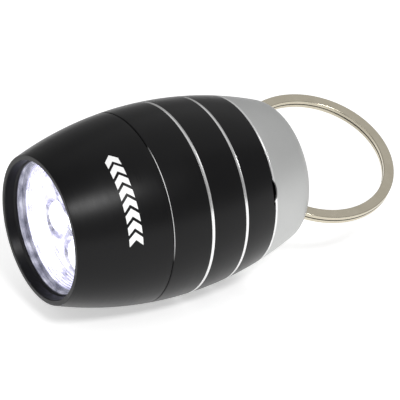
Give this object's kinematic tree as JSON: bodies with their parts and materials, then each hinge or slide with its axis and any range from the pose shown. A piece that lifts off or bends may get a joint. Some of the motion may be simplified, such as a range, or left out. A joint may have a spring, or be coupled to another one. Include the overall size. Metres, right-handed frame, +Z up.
{
  "type": "keychain flashlight",
  "caption": "Barrel-shaped pocket flashlight with a screw-on lens head, coin-cell body, silver tail and a flat-wire split ring.",
  "frame": {"origin": "on the ground under the middle of the whole length, ring included; the barrel lies on its belly", "axes": "+Z up; the barrel runs along Y with the lens looking along -Y and the split ring at +Y"},
  "size_m": [0.032, 0.0668, 0.032],
  "materials": {
    "black_anodised": "fine-turned, satin black anodised",
    "silver_aluminium": "bead-blasted, clear anodised",
    "clear_acrylic": "polished clear acrylic",
    "mirror_plastic": "vacuum-metallised plastic",
    "led_epoxy": "water-clear epoxy, lit white",
    "board": "white solder mask",
    "chip_ceramic": "ceramic chip with tinned ends",
    "brass": "plated stamping",
    "spring_steel": "drawn wire",
    "tinned_wire": "tinned",
    "solder": "bright solder",
    "black_plastic": "moulded",
    "insulator": "thin moulded sleeve",
    "rubber": "moulded",
    "cell_steel": "nickel-plated steel",
    "cell_seal": "moulded",
    "pin_steel": "ground",
    "ring_nickel": "nickel-plated spring steel"
  },
  "bodies": {
    "body": {"body_sleeve": "black_anodised", "body_oring": "rubber", "body_contact": "brass", "battery_sleeve": "insulator", "tail_spring": "spring_steel", "tail_plate": "brass", "tail_cap": "silver_aluminium", "tail_oring": "rubber", "ring_carrier": "black_plastic", "ring_pin": "pin_steel", "cell_1_can": "cell_steel", "cell_1_seal": "cell_seal", "cell_1_cap": "cell_steel", "cell_2_can": "cell_steel", "cell_2_seal": "cell_seal", "cell_2_cap": "cell_steel"},
    "module": {"reflector": "mirror_plastic", "led_leads": "tinned_wire", "solder_joints": "solder", "led_board": "board", "resistors": "chip_ceramic", "contact_pad": "brass", "contact_spring": "spring_steel", "led_holder": "black_plastic", "module_contact": "brass", "led_1": "led_epoxy", "led_2": "led_epoxy", "led_3": "led_epoxy", "led_4": "led_epoxy", "led_5": "led_epoxy", "led_6": "led_epoxy"},
    "head": {"head_shell": "black_anodised", "lens": "clear_acrylic", "lens_gasket": "rubber", "module_clip": "spring_steel"},
    "ring": {"split_ring": "ring_nickel"}
  },
  "joints": [
    {"name": "module_slide", "type": "slide", "parent": "body", "child": "module", "axis": [0, -1, 0], "range_m": [0, 0.005]},
    {"name": "head_twist", "type": "hinge", "parent": "module", "child": "head", "pos_m": [0, 0, 0.016], "axis": [0, -1, 0], "range_deg": [0, 1800]},
    {"name": "ring_turn", "type": "hinge", "parent": "body", "child": "ring", "pos_m": [0, 0.01955, 0.016], "axis": [0.4462, 0, 0.8949], "continuous": true}
  ],
  "couplings": [
    {"joint": "head_twist", "follows": "module_slide", "rad_per_m": 6283.2}
  ]
}
